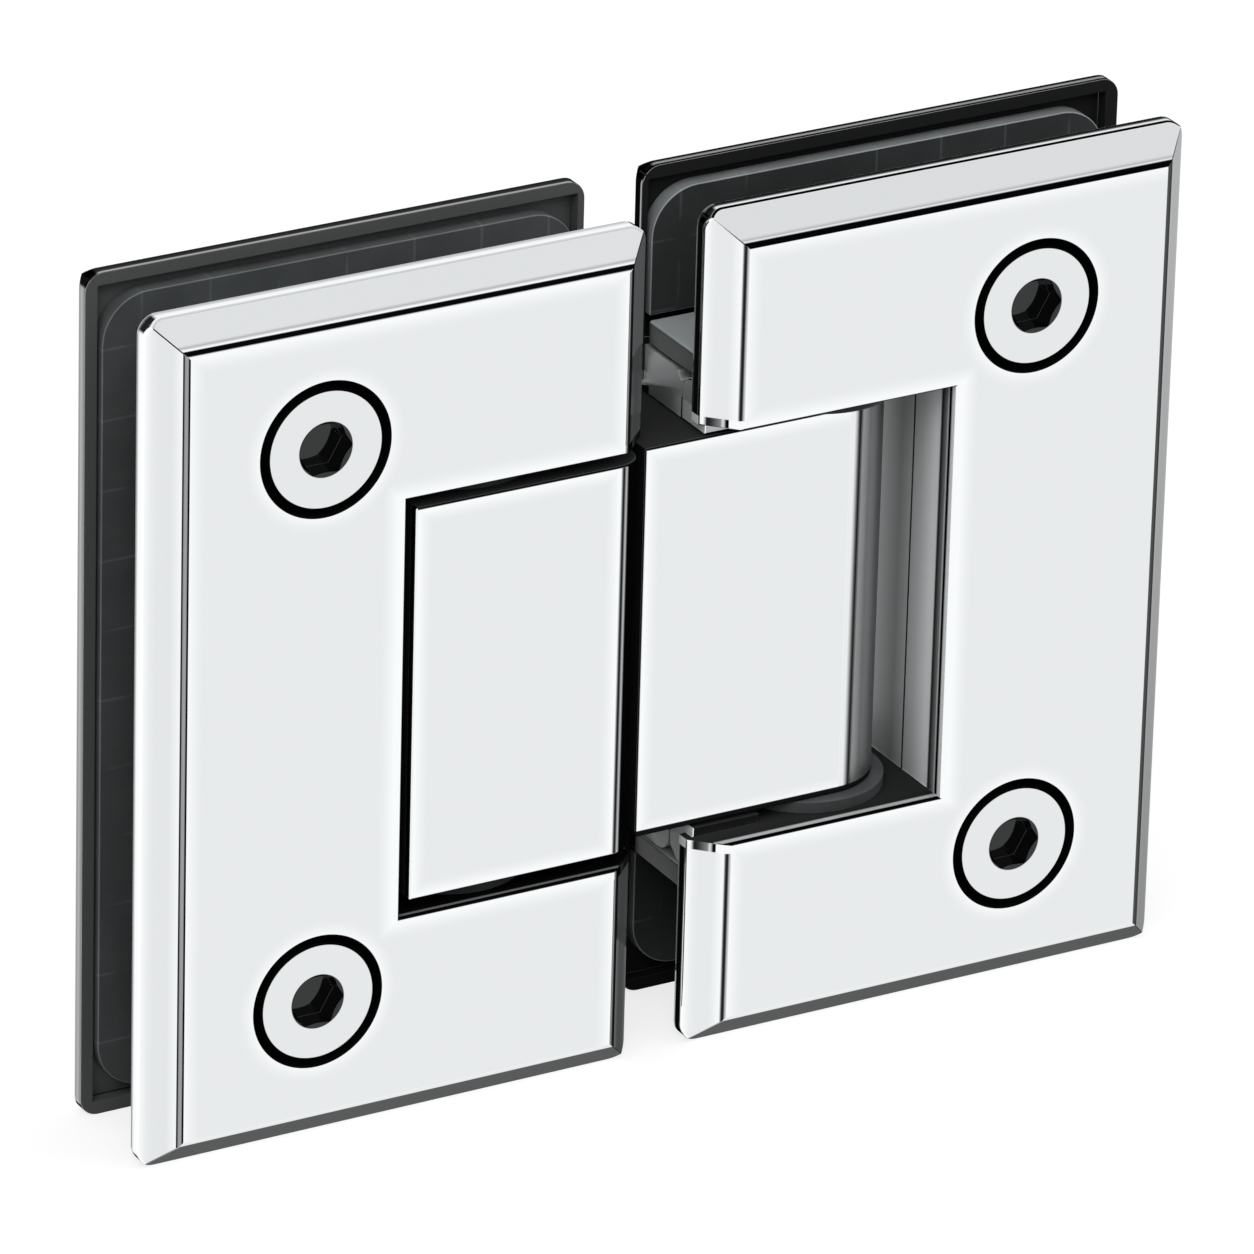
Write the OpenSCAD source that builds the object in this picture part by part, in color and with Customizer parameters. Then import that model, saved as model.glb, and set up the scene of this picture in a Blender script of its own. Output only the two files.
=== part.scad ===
// Glass to glass door hinge: two bevelled leaves that clamp 10 mm glass, a solid hinge
// body that is fixed in the notch of the left leaf, and a pivot pin that turns in it
// with the right leaf. +X runs from the fixed leaf to the door leaf, +Z is up.

/* [Leaves] */
// Height of each leaf
leaf_h = 90; // [84:1:100]
// Width of each leaf
leaf_w = 54.5; // [52:0.5:62]
// Open gap between the two leaves
leaf_gap = 6.4; // [5.5:0.1:8]
// Thickness of each plate
plate_t = 4.5; // [4.2:0.1:6]
// Width and depth of the bevel round each plate
bevel = 3.1; // [1.5:0.1:3.4]
// Radius of a plate's corners, seen from the front
corner_r = 2; // [1:0.1:2.8]
// Height of the notch in each leaf
notch_h = 44.8; // [40:0.1:46]
// Depth of the notch from the leaf's hinge edge
notch_depth = 27.5; // [27:0.1:29]

/* [Glass seats] */
// Thickness of the glass
glass_t = 10; // [8:0.5:12]
// Thickness of each flat gasket
gasket_t = 1.8; // [1.6:0.1:2]
// How far a gasket stands proud of its plate
gasket_proud = 0.35; // [0.2:0.05:0.6]
// Corner radius of a gasket
gasket_r = 5; // [3:0.5:6]
// Width of the rim round the gasket pocket
rim_w = 1.4; // [1.2:0.1:1.6]
// Width of that rim along the hinge edge
hinge_rim_w = 0.75; // [0.6:0.05:1]
// Gap from a gasket's sides to the rim
gasket_side_gap = 0.3; // [0.2:0.05:0.4]
// Gap from a gasket's top and bottom to the rim
gasket_end_gap = 1.2; // [0.5:0.1:1.5]
// Thickness of the liner round the clamp block
liner_t = 2.55; // [2:0.05:2.8]
// Gap between the liner and the metal or the gasket
liner_gap = 0.25; // [0.1:0.05:0.3]

/* [Clamp block] */
// Thickness of the block's two arms, above and below the notch
arm_t = 3.8; // [3.6:0.1:4.4]
// Thickness of the wall behind the notch
wall_t = 5; // [4:0.1:6]
// How far the back plate's block reaches past the middle of the glass
block_reach = 2.1; // [1.5:0.1:2.4]
// Gap between the front and back halves of the block
block_gap = 0.3; // [0.2:0.05:0.4]
// Radius of the rounded edge along each arm
arm_edge_r = 2; // [1:0.1:2.4]
// Gap between the hinge body and the lip at the end of each arm
lip_gap = 0.3; // [0.25:0.05:0.5]
// Length of that lip along the arm
lip_l = 7.5; // [5:0.5:8]

/* [Clamp screws] */
// Distance of the screws from the leaf's hinge edge
screw_x = 36.4; // [36:0.1:38]
// Distance of the screws above and below the middle
screw_z = 29.4; // [29:0.1:31]
// Diameter of the screw thread
screw_d = 6; // [5:0.5:6]
// Clearance of the thread in the front plate, on the diameter
screw_hole_gap = 0.6; // [0.4:0.1:1]
// Clearance of the thread in the back plate, on the diameter
thread_gap = 0.1; // [0.05:0.05:0.2]
// Diameter of the flat screw head
head_d = 12.2; // [11:0.1:12.6]
// Thickness of the screw head
head_t = 2.6; // [2.4:0.1:2.8]
// Diameter of the counterbore round the head
counterbore_d = 14; // [13.4:0.1:14.6]
// Radius of the boss round each screw
screw_boss_r = 6; // [5.5:0.1:6.3]
// Width across the flats of the hexagon socket
socket_af = 5; // [4:0.5:5]
// Depth of the hexagon socket
socket_depth = 2.2; // [1.8:0.1:2.3]
// Chamfer round the mouth of the socket
socket_chamfer = 0.35; // [0.2:0.05:0.4]
// Metal left behind a screw's tip in the back plate
screw_floor = 2; // [1.8:0.1:2.4]

/* [Hinge body] */
// Distance of the pivot from the middle of the leaf gap
pivot_x = 20.5; // [20.3:0.1:21]
// Thickness of the knuckle that the door leaf turns about
knuckle_t = 13.6; // [12:0.1:14]
// Step from the leaf's face back to the fixed block's face
block_step = 0.55; // [0:0.05:1]
// Gap between the fixed block and the end of its notch
block_end_gap = 1.3; // [1:0.1:1.6]
// Rounding of the fixed block's edges beside the knuckle
block_edge_r = 2.9; // [2:0.1:3]
// Distance of the fixed block's inner end from the middle of the leaf gap
block_end_x = 3.85; // [3.6:0.05:4]
// Distance of the knuckle's start from the middle of the leaf gap
knuckle_start_x = 2.65; // [2.4:0.05:2.8]
// Thickness of the neck between the block and the knuckle
neck_t = 7.9; // [7.7:0.1:9]

/* [Pins and washers] */
// Diameter of the pivot pin and of the fixing pins
pin_d = 8; // [7.6:0.1:8]
// Running clearance of the pivot pin, on the radius
pin_clear = 0.05; // [0.03:0.01:0.08]
// Gap round the flattened pin ends in the arms
pin_seat_gap = 0.02; // [0.01:0.01:0.05]
// Width across the two flats of the pin ends
pin_end_flat = 6; // [5.4:0.1:6.4]
// Metal left in an arm beyond the pin's end
arm_floor = 0.8; // [0.6:0.1:1]
// Metal between each fixing pin's hole and the spring plug's bore
fixing_floor = 1.5; // [0.5:0.1:4]
// Diameter of the washers
washer_d = 16.2; // [14:0.1:16.4]
// Thickness of the washers
washer_t = 1.35; // [1:0.05:2]
// Play of a washer between the body and an arm
washer_play = 0.05; // [0.03:0.01:0.1]

/* [Detent] */
// Height of each plunger above or below the middle
detent_z = 7; // [6.6:0.1:7.5]
// Diameter of the plungers
plunger_d = 6; // [5:0.1:6]
// Length of a plunger
plunger_l = 18; // [14:0.5:20]
// Clearance of a plunger in its bore, on the radius
plunger_clear = 0.05; // [0.03:0.01:0.08]
// Depth of the four flats on the pivot pin
flat_depth = 0.8; // [0.5:0.05:1]
// Height of the flats on the pivot pin
flat_h = 22; // [21:0.5:26]
// Gap from the plunger's nose to the pin, lifted or seated
nose_gap = 0.1; // [0.05:0.01:0.15]
// Wire diameter of the detent springs
wire_d = 0.9; // [0.6:0.1:1]
// Turns of each detent spring
spring_turns = 10; // [6:1:12]
// Diameter of the threaded spring plugs
plug_d = 7; // [6.4:0.1:7]
// Length of a spring plug
plug_l = 7; // [5:0.5:8]
// Depth of a plug below the block's end
plug_sink = 0.5; // [0.3:0.1:1]
// Width across the flats of a plug's socket
plug_socket_af = 3; // [2.5:0.5:3.5]

/* [Hidden] */
$fn = 64;

// Reach of a cut past the face it opens
over = 1;
plate_gap = glass_t + 2 * gasket_proud;
rim_t = plate_t - bevel;
pocket_d = gasket_t - gasket_proud;
hinge_t = plate_gap + 2 * plate_t;
arm_top = notch_h / 2 + arm_t;
liner_grow = liner_gap + liner_t;
pin_r = pin_d / 2;
pin_tip_z = arm_top - arm_floor;
pin_leaf_x = pivot_x - leaf_gap / 2;
body_z = notch_h / 2 - washer_t - washer_play;
body_h = 2 * body_z;
fixing_depth = body_z - detent_z - plug_d / 2 - fixing_floor;
block_t = hinge_t - 2 * block_step;
block_start_x = -(leaf_gap / 2 + notch_depth - block_end_gap);
nose_x = pivot_x - pin_r - nose_gap;
plunger_tail_x = nose_x - plunger_l;
plug_end_x = block_start_x + plug_sink + plug_l;
spring_r = plunger_d / 2 - wire_d / 2 - 2 * plunger_clear;
screw_tip = plate_t - screw_floor;

chrome = [0.86, 0.87, 0.88];
steel = [0.70, 0.71, 0.73];
pvc = [0.16, 0.18, 0.19];
pvc_pale = [0.45, 0.48, 0.49];
nylon = [0.80, 0.82, 0.82];

// Extrudes an outline drawn in X and Z from one Y to another
module along_y(from, to) {
  translate([0, from, 0])
    mirror([0, 1, 0])
      rotate([90, 0, 0])
        linear_extrude(height = to - from)
          children();
}

// Rectangle with rounded corners, from its low corner to its high corner
module rounded_rect(low, high, r) {
  translate([low[0] + r, low[1]])
    square([high[0] - low[0] - 2 * r, high[1] - low[1]]);
  translate([low[0], low[1] + r])
    square([high[0] - low[0], high[1] - low[1] - 2 * r]);
  for (x = [low[0] + r, high[0] - r], z = [low[1] + r, high[1] - r])
    translate([x, z])
      circle(r = r);
}

// The four places of a plate. A plate is drawn as the right leaf's back plate, with its
// hinge edge at x = 0, its inner face at y = 0 and its middle at z = 0.
module on_right_back() {
  translate([leaf_gap / 2, plate_gap / 2, leaf_h / 2])
    children();
}

module on_right_front() {
  mirror([0, 1, 0])
    on_right_back()
      children();
}

module on_left_back() {
  mirror([1, 0, 0])
    on_right_back()
      children();
}

module on_left_front() {
  mirror([1, 0, 0])
    on_right_front()
      children();
}

// Outline of the clamp block from outside, with its two screw bosses, grown by some margin
module clamp_outline(grow) {
  wall_x = notch_depth + wall_t;
  root_x = notch_depth + wall_t / 2;
  root_z = arm_top - arm_t / 2;
  translate([hinge_rim_w, -arm_top - grow])
    square([wall_x + grow - hinge_rim_w, 2 * (arm_top + grow)]);
  for (side = [-1, 1]) {
    translate([screw_x, side * screw_z])
      circle(r = screw_boss_r + grow);
    translate([root_x, side * root_z])
      rotate(side * atan2(screw_z - root_z, screw_x - root_x))
        translate([0, -arm_t / 2 - grow])
          square([norm([screw_z - root_z, screw_x - root_x]), arm_t + 2 * grow]);
  }
}

module notch_outline() {
  translate([-over, -notch_h / 2])
    square([notch_depth + over, notch_h]);
}

// Bevelled plate before its notch and pocket are cut
module plate_blank() {
  intersection() {
    linear_extrude(height = leaf_h, center = true)
      polygon([
        [0, 0], [leaf_w, 0], [leaf_w, rim_t],
        [leaf_w - bevel, plate_t], [bevel, plate_t], [0, rim_t]
      ]);
    rotate([90, 0, 90])
      linear_extrude(height = leaf_w)
        polygon([
          [0, -leaf_h / 2], [rim_t, -leaf_h / 2], [plate_t, -leaf_h / 2 + bevel],
          [plate_t, leaf_h / 2 - bevel], [rim_t, leaf_h / 2], [0, leaf_h / 2]
        ]);
    along_y(0, plate_t)
      rounded_rect([0, -leaf_h / 2], [leaf_w, leaf_h / 2], corner_r);
  }
}

// Rounds the edge of an arm that faces the other half of the block
module arm_edge_cut(reach) {
  for (side = [0, 1])
    mirror([0, 0, side])
      translate([hinge_rim_w - over, -reach, arm_top])
        difference() {
          translate([0, -over, -arm_edge_r])
            cube([notch_depth - hinge_rim_w + over, arm_edge_r + over, arm_edge_r + over]);
          translate([-over, arm_edge_r, -arm_edge_r])
            rotate([0, 90, 0])
              cylinder(r = arm_edge_r, h = notch_depth + 2 * over);
        }
}

// Seat of a flattened pin end in both arms, cut about the middle of the glass
module pin_seats() {
  seat_w = pin_end_flat + 2 * pin_seat_gap;
  seat_h = 2 * (pin_tip_z + pin_seat_gap);
  translate([pin_leaf_x, -plate_gap / 2, 0])
    intersection() {
      cylinder(r = pin_r + pin_seat_gap, h = seat_h, center = true);
      cube([2 * pin_d, seat_w, seat_h], center = true);
    }
}

// Lips at the ends of the arms, which close the gap down to the hinge body
module arm_lips(reach) {
  for (side = [0, 1])
    mirror([0, 0, side])
      translate([hinge_rim_w, -reach, body_z + lip_gap])
        cube([lip_l, reach + pocket_d, arm_top - arm_t / 2 - body_z - lip_gap]);
}

// A plate with its half of the clamp block, which reaches some way in from its inner face
module clamp_plate(reach) {
  difference() {
    union() {
      difference() {
        union() {
          difference() {
            plate_blank();
            along_y(-over, pocket_d)
              translate([hinge_rim_w, -leaf_h / 2 + rim_w])
                square([leaf_w - hinge_rim_w - rim_w, leaf_h - 2 * rim_w]);
          }
          difference() {
            along_y(-reach, pocket_d)
              clamp_outline(0);
            if (reach > arm_edge_r)
              arm_edge_cut(reach);
          }
        }
        along_y(-reach - over, plate_t + over)
          notch_outline();
      }
      arm_lips(reach);
    }
    pin_seats();
    for (side = [-1, 1])
      translate([screw_x, 0, side * screw_z])
        children();
  }
}

// Front plates are held by the screw heads, which lie in counterbores
module front_plate() {
  color(chrome)
    clamp_plate(plate_gap / 2 - block_reach - block_gap)
      rotate([-90, 0, 0]) {
        translate([0, 0, -plate_gap])
          cylinder(d = screw_d + screw_hole_gap, h = 2 * plate_gap);
        translate([0, 0, plate_t - head_t])
          cylinder(d = counterbore_d, h = head_t + over);
      }
}

// Back plates take the screws' threads
module back_plate() {
  color(chrome)
    clamp_plate(plate_gap / 2 + block_reach)
      rotate([-90, 0, 0])
        translate([0, 0, -plate_gap])
          cylinder(d = screw_d + thread_gap, h = plate_gap + screw_tip + 2 * thread_gap);
}

// Flat gasket, drawn in the same place as the plate that holds it
module gasket() {
  low = [hinge_rim_w + gasket_side_gap, -leaf_h / 2 + rim_w + gasket_end_gap];
  high = [leaf_w - rim_w - gasket_side_gap, leaf_h / 2 - rim_w - gasket_end_gap];
  color(pvc)
    along_y(-gasket_proud, pocket_d)
      difference() {
        rounded_rect(low, high, gasket_r);
        clamp_outline(liner_grow + liner_gap);
      }
}

// Liner that keeps the cut edge of the glass off the clamp block
module notch_liner() {
  color(pvc_pale)
    translate([0, -plate_gap / 2, 0])
      along_y(liner_gap - glass_t / 2, glass_t / 2 - liner_gap)
        difference() {
          clamp_outline(liner_grow);
          intersection() {
            clamp_outline(liner_gap);
            translate([hinge_rim_w, -leaf_h / 2])
              square([leaf_w, leaf_h]);
          }
        }
}

// Hexagon socket with a chamfered mouth, cut down from z = 0
module hex_socket(af, depth, chamfer) {
  translate([0, 0, -depth])
    cylinder(d = af / cos(30), h = depth + over, $fn = 6);
  translate([0, 0, -chamfer])
    cylinder(r1 = af / 2, r2 = af / 2 + chamfer + over, h = chamfer + over);
}

// One flat headed clamp screw, its head flush with the face of the front plate
module clamp_screw() {
  face = plate_gap / 2 + plate_t;
  tip = plate_gap / 2 + screw_tip;
  rotate([90, 0, 0])
    difference() {
      union() {
        translate([0, 0, face - head_t])
          cylinder(d = head_d, h = head_t);
        translate([0, 0, -tip])
          cylinder(d = screw_d, h = tip + face - head_t / 2);
      }
      translate([0, 0, face])
        hex_socket(socket_af, socket_depth, socket_chamfer);
    }
}

module clamp_screws() {
  color(chrome)
    for (side = [-1, 1])
      translate([leaf_gap / 2 + screw_x, 0, leaf_h / 2 + side * screw_z])
        clamp_screw();
}

// Section of the fixed block seen from above, its two edges beside the knuckle rounded
module fixed_block_outline() {
  translate([block_start_x, -block_t / 2])
    square([-block_end_x - block_edge_r - block_start_x, block_t]);
  translate([-block_end_x - 2 * block_edge_r, -block_t / 2 + block_edge_r])
    square([2 * block_edge_r, block_t - 2 * block_edge_r]);
  for (side = [-1, 1])
    translate([-block_end_x - block_edge_r, side * (block_t / 2 - block_edge_r)])
      circle(r = block_edge_r);
}

// Bore of one detent, from the pin's bore to the threaded plug at the block's end
module detent_bore() {
  translate([block_start_x - over, 0, detent_z])
    rotate([0, 90, 0]) {
      cylinder(d = plunger_d + 2 * plunger_clear, h = pivot_x - block_start_x + over);
      cylinder(d = plug_d + thread_gap, h = plug_sink + plug_l + over);
    }
}

// One solid body: the block in the fixed leaf's notch, a neck, and the knuckle
module hinge_body() {
  color(chrome)
    translate([0, 0, leaf_h / 2])
      difference() {
        linear_extrude(height = body_h, center = true) {
          fixed_block_outline();
          translate([-block_end_x - block_edge_r, -neck_t / 2])
            square([block_end_x + block_edge_r, neck_t]);
          translate([-knuckle_start_x, -knuckle_t / 2])
            square([pivot_x + knuckle_start_x, knuckle_t]);
          translate([pivot_x, 0])
            circle(d = knuckle_t);
        }
        translate([pivot_x, 0, 0])
          cylinder(r = pin_r + pin_clear, h = body_h + 2 * over, center = true);
        for (flip = [0, 1])
          mirror([0, 0, flip]) {
            translate([-pivot_x, 0, body_z - fixing_depth])
              cylinder(r = pin_r + pin_seat_gap, h = fixing_depth + over);
            detent_bore();
          }
      }
}

// Cuts two flats on the end of a pin, above some height
module end_flats(z) {
  for (side = [0, 1])
    mirror([0, side, 0])
      translate([-pin_d, pin_end_flat / 2, z])
        cube([2 * pin_d, pin_d, pin_d]);
}

module fixing_pin() {
  color(steel)
    translate([-pivot_x, 0, 0])
      difference() {
        translate([0, 0, body_z - fixing_depth])
          cylinder(r = pin_r, h = pin_tip_z - body_z + fixing_depth);
        end_flats(notch_h / 2 - washer_play);
      }
}

// Pivot pin: flattened ends for the arms, and four flats in the middle for the plungers
module pivot_pin() {
  flat_r = pin_r - flat_depth;
  color(steel)
    translate([pivot_x, 0, leaf_h / 2])
      difference() {
        cylinder(r = pin_r, h = 2 * pin_tip_z, center = true);
        for (flip = [0, 1])
          mirror([0, 0, flip])
            end_flats(notch_h / 2 - washer_play);
        for (turn = [0:90:270])
          rotate(turn)
            translate([flat_r, -pin_d / 2, -flat_h / 2])
              cube([pin_d, pin_d, flat_h]);
      }
}

module washer() {
  color(nylon)
    translate([pivot_x, 0, body_z + washer_play])
      difference() {
        cylinder(d = washer_d, h = washer_t);
        translate([0, 0, -over])
          cylinder(r = pin_r + pin_clear, h = washer_t + 2 * over);
      }
}

module detent_plunger() {
  color(steel)
    translate([plunger_tail_x, 0, detent_z])
      rotate([0, 90, 0])
        cylinder(d = plunger_d, h = plunger_l);
}

module spring_plug() {
  color(steel)
    translate([block_start_x + plug_sink, 0, detent_z])
      rotate([0, 90, 0])
        difference() {
          cylinder(d = plug_d, h = plug_l);
          mirror([0, 0, 1])
            hex_socket(plug_socket_af, plug_l / 2, socket_chamfer);
        }
}

// Coil spring between a plug and the tail of its plunger, swept round its axis
module detent_spring() {
  ring = 6;
  steps = 12;
  low = plug_end_x + wire_d / 2 + plunger_clear;
  high = plunger_tail_x - wire_d / 2 - plunger_clear;
  count = spring_turns * steps;
  points = [
    for (i = [0:count], k = [0:ring - 1])
      let (
        turn = 360 * i / steps,
        tube = 360 * k / ring,
        r = spring_r + wire_d / 2 * cos(tube)
      )
      [low + (high - low) * i / count + wire_d / 2 * sin(tube), r * cos(turn), r * sin(turn)]
  ];
  sides = [
    for (i = [0:count - 1], k = [0:ring - 1])
      let (next = (k + 1) % ring)
      [i * ring + k, i * ring + next, (i + 1) * ring + next, (i + 1) * ring + k]
  ];
  first_end = [for (k = [ring - 1:-1:0]) k];
  last_end = [for (k = [0:ring - 1]) count * ring + k];
  color(steel)
    translate([0, 0, detent_z])
      polyhedron(points = points, faces = concat(sides, [first_end, last_end]));
}

// Upper pieces stand above the middle of the hinge, lower pieces are their mirror image
module upper() {
  translate([0, 0, leaf_h / 2])
    children();
}

module lower() {
  translate([0, 0, leaf_h / 2])
    mirror([0, 0, 1])
      children();
}

module left_front_plate() {
  on_left_front()
    front_plate();
}

module left_back_plate() {
  on_left_back()
    back_plate();
}

module left_front_gasket() {
  on_left_front()
    gasket();
}

module left_back_gasket() {
  on_left_back()
    gasket();
}

module left_notch_liner() {
  on_left_back()
    notch_liner();
}

module left_clamp_screws() {
  mirror([1, 0, 0])
    clamp_screws();
}

module right_front_plate() {
  on_right_front()
    front_plate();
}

module right_back_plate() {
  on_right_back()
    back_plate();
}

module right_front_gasket() {
  on_right_front()
    gasket();
}

module right_back_gasket() {
  on_right_back()
    gasket();
}

module right_notch_liner() {
  on_right_back()
    notch_liner();
}

module right_clamp_screws() {
  clamp_screws();
}

left_front_plate();
left_back_plate();
left_front_gasket();
left_back_gasket();
left_notch_liner();
left_clamp_screws();
hinge_body();
upper() fixing_pin();  // upper_fixing_pin
lower() fixing_pin();  // lower_fixing_pin
upper() mirror([1, 0, 0]) washer();  // upper_block_spacer
lower() mirror([1, 0, 0]) washer();  // lower_block_spacer
upper() detent_spring();  // upper_detent_spring
lower() detent_spring();  // lower_detent_spring
upper() spring_plug();  // upper_spring_plug
lower() spring_plug();  // lower_spring_plug
upper() detent_plunger();  // upper_detent_plunger
lower() detent_plunger();  // lower_detent_plunger
right_front_plate();
right_back_plate();
right_front_gasket();
right_back_gasket();
right_notch_liner();
right_clamp_screws();
pivot_pin();
upper() washer();  // upper_pivot_washer
lower() washer();  // lower_pivot_washer
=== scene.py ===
"""Looks of a glass to glass door hinge: chrome plates, soft gaskets, screws and knuckle.

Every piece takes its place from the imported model. The class of each sub-assembly holds
its own sizes, builds its meshes and dresses them. Lengths are metres.
"""

from __future__ import annotations

import logging
import math
from dataclasses import dataclass
from enum import Enum

import bmesh
import bpy
import numpy as np
from mathutils import Matrix, Vector

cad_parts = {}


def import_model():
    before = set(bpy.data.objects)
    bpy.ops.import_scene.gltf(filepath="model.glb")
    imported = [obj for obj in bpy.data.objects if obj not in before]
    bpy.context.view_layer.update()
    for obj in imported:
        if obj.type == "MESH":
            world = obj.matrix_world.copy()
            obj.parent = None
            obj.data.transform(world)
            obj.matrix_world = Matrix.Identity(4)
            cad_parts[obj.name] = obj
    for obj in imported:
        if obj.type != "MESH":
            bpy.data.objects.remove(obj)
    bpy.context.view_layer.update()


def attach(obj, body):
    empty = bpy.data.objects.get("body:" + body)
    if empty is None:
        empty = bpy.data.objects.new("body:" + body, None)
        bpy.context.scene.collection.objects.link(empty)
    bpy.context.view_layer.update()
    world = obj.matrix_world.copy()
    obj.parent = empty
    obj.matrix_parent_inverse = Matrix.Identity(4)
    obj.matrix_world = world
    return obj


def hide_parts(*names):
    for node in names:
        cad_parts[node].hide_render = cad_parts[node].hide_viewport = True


log = logging.getLogger("glass_door_hinge")

MM = 0.001

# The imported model's middle and its screws' axes, in millimetres.
MIDDLE = 45.0
SCREW_SIDE = 39.6
SCREW_HEIGHT = 29.4

WHITE = (1.0, 1.0, 1.0)
CHROME_TINT = (0.968, 0.990, 1.0)

Colour = tuple[float, float, float]
Curve = tuple[tuple[float, float], ...]
Point = tuple[float, float, float]
Step = tuple[float, float]
Given = bpy.types.NodeSocket | float


class Side(Enum):
    """The two leaves, with the word for their finishes and the body that carries them."""

    LEFT = ("fixed", "fixed_side")
    RIGHT = ("door", "door_side")

    @property
    def finish(self) -> str:
        """Word that this leaf's finishes start with."""
        return self.value[0]

    @property
    def body(self) -> str:
        """Name of the body that this leaf belongs to."""
        return self.value[1]

    @property
    def word(self) -> str:
        """Word that this leaf's nodes start with."""
        return self.name.lower()


def colour4(colour: Colour) -> tuple[float, float, float, float]:
    """Returns a colour with an alpha of 1."""
    return (*colour, 1.0)


class Nodes:
    """A node tree with short ways to add nodes and link them."""

    def __init__(self, tree: bpy.types.NodeTree) -> None:
        """Takes and empties the tree to fill."""
        self.tree = tree
        tree.nodes.clear()

    def add(self, kind: str, **settings: object) -> bpy.types.Node:
        """Adds a node.

        Args:
            kind: Type name of the node without its ShaderNode prefix.
            settings: Properties to set on it.

        Returns:
            The new node.
        """
        full = kind if kind.startswith("NodeGroup") else "ShaderNode" + kind
        node = self.tree.nodes.new(full)
        for name, value in settings.items():
            setattr(node, name, value)
        return node

    def link(self, source: bpy.types.NodeSocket, target: bpy.types.NodeSocket) -> None:
        """Links an output socket to an input socket."""
        self.tree.links.new(source, target)

    def put(self, value: Given, target: bpy.types.NodeSocket) -> None:
        """Links a socket to an input socket, or sets the input to a number."""
        if isinstance(value, bpy.types.NodeSocket):
            self.link(value, target)
        else:
            target.default_value = value

    def math(self, operation: str, first: Given, second: Given = 0.0) -> bpy.types.NodeSocket:
        """Adds a Math node.

        Args:
            operation: Name of the operation.
            first: Socket or number of its first input.
            second: Socket or number of its second input.

        Returns:
            The node's output socket.
        """
        node = self.add("Math", operation=operation)
        self.put(first, node.inputs[0])
        self.put(second, node.inputs[1])
        return node.outputs[0]

    def every(self, *masks: Given) -> bpy.types.NodeSocket:
        """Returns the product of several masks or numbers."""
        product = masks[0]
        for mask in masks[1:]:
            product = self.math("MULTIPLY", product, mask)
        return product

    def inverse(self, mask: Given) -> bpy.types.NodeSocket:
        """Returns what a mask leaves of 1."""
        return self.math("SUBTRACT", 1.0, mask)

    def positive(self, value: Given) -> bpy.types.NodeSocket:
        """Returns a mask that is 1 where a part of the normal is above zero."""
        return self.ramp(value, -0.03, 0.03)

    def ramp(self, value: Given, low: Given, high: Given) -> bpy.types.NodeSocket:
        """Adds a smooth step from 0 at low to 1 at high.

        Args:
            value: Socket or number to look at.
            low: Where the step starts.
            high: Where it ends. It may lie below low, for a falling step.

        Returns:
            The socket with the step's height.
        """
        node = self.add("MapRange", interpolation_type="SMOOTHSTEP")
        for name, given in (("Value", value), ("From Min", low), ("From Max", high)):
            self.put(given, node.inputs[name])
        return node.outputs[0]

    def blend(self, share: Given, first: Given, second: Given) -> bpy.types.NodeSocket:
        """Adds a mix of two numbers.

        Args:
            share: Share of the second, as a socket or a number.
            first: First socket or number.
            second: Second socket or number.

        Returns:
            The socket with the mixed number.
        """
        node = self.add("Mix", data_type="FLOAT")
        self.put(share, node.inputs[0])
        self.put(first, node.inputs[2])
        self.put(second, node.inputs[3])
        return node.outputs[0]

    def curve(self, value: bpy.types.NodeSocket, points: Curve) -> bpy.types.NodeSocket:
        """Adds a curve through given points, straight between them and level outside.

        Args:
            value: Socket to look at.
            points: Places in rising order, each with its tone.

        Returns:
            The socket with the tone.
        """
        low, high = points[0][0], points[-1][0]
        share = self.add("MapRange")
        share.inputs["From Min"].default_value = low
        share.inputs["From Max"].default_value = high
        self.link(value, share.inputs["Value"])
        ramp = self.add("ValToRGB")
        self.link(share.outputs[0], ramp.inputs[0])
        stops = ramp.color_ramp.elements
        stops.remove(stops[1])
        stops[0].position = 0.0
        stops[0].color = colour4((points[0][1],) * 3)
        for place, tone in points[1:]:
            stops.new((place - low) / (high - low)).color = colour4((tone,) * 3)
        return ramp.outputs[0]


def new_group(
    name: str, inputs: dict[str, float], outputs: tuple[str, ...]
) -> tuple[Nodes, bpy.types.Node, bpy.types.Node]:
    """Makes a shader node group with number inputs and outputs.

    Args:
        name: Name of the group.
        inputs: Names of the inputs with their usual values.
        outputs: Names of the outputs.

    Returns:
        The group's nodes, its input node and its output node.
    """
    tree = bpy.data.node_groups.new(name, "ShaderNodeTree")
    for label, value in inputs.items():
        socket = tree.interface.new_socket(label, in_out="INPUT", socket_type="NodeSocketFloat")
        socket.default_value = value
    for label in outputs:
        tree.interface.new_socket(label, in_out="OUTPUT", socket_type="NodeSocketFloat")
    nodes = Nodes(tree)
    return nodes, nodes.add("NodeGroupInput"), nodes.add("NodeGroupOutput")


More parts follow.
